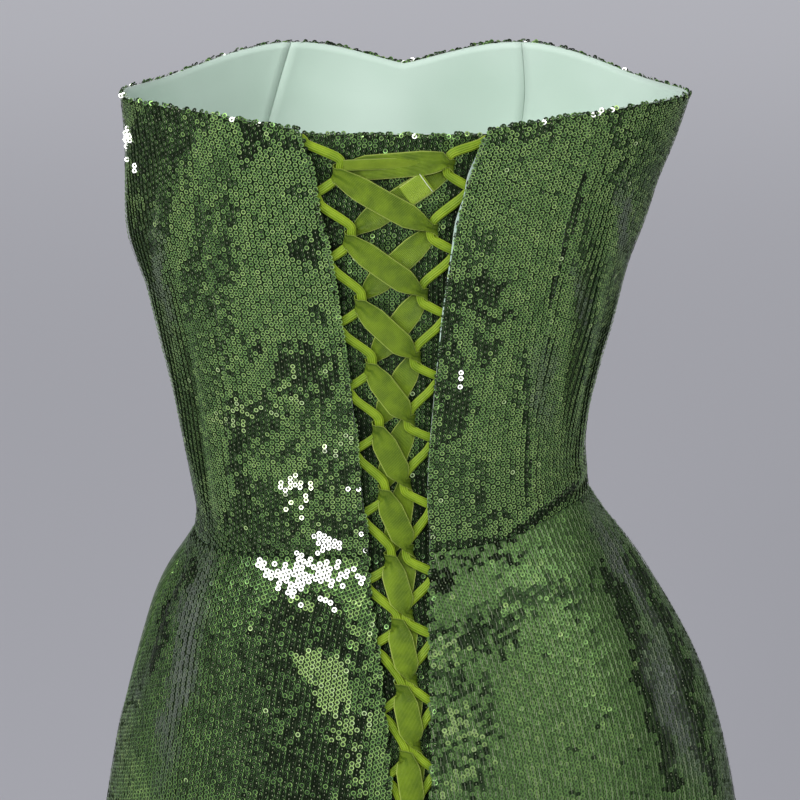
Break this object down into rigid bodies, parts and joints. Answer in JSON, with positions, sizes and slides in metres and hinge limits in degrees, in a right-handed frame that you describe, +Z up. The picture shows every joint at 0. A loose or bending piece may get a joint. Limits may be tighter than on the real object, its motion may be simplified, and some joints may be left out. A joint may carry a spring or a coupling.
{
  "type": "evening gown",
  "caption": "Strapless sequined evening gown, floor length, laced up the back through cord loops over a modesty panel, in its worn hollow shape.",
  "frame": {"origin": "middle of the waist, at the level of the waist seam, where the wearer's waist holds the gown", "axes": "+Z up along the gown, the laced back faces -Y, +X is on the right seen from behind"},
  "size_m": [0.6409, 0.5217, 1.3141],
  "materials": {
    "sequined_cloth": "mesh closely covered with small flat glossy green sequins",
    "lining": "smooth pale mint lining",
    "lace_ribbon": "soft lime green ribbon with fine ribs along it",
    "lace_loop": "satin bias strip rolled into a cord"
  },
  "bodies": {
    "root": {"bodice_centre_front": "sequined_cloth", "bodice_side_front_left": "sequined_cloth", "bodice_side_front_right": "sequined_cloth", "bodice_side_left": "sequined_cloth", "bodice_side_right": "sequined_cloth", "bodice_back_left": "sequined_cloth", "bodice_back_right": "sequined_cloth", "modesty_panel": "sequined_cloth", "skirt_back_left": "sequined_cloth", "skirt_back_right": "sequined_cloth", "skirt_front": "sequined_cloth", "lace_loops_left": "lace_loop", "lace_loops_right": "lace_loop", "lacing_ribbon": "lace_ribbon", "lace_knot": "lace_ribbon", "lace_end_left": "lace_ribbon", "lace_end_right": "lace_ribbon"}
  },
  "joints": []
}
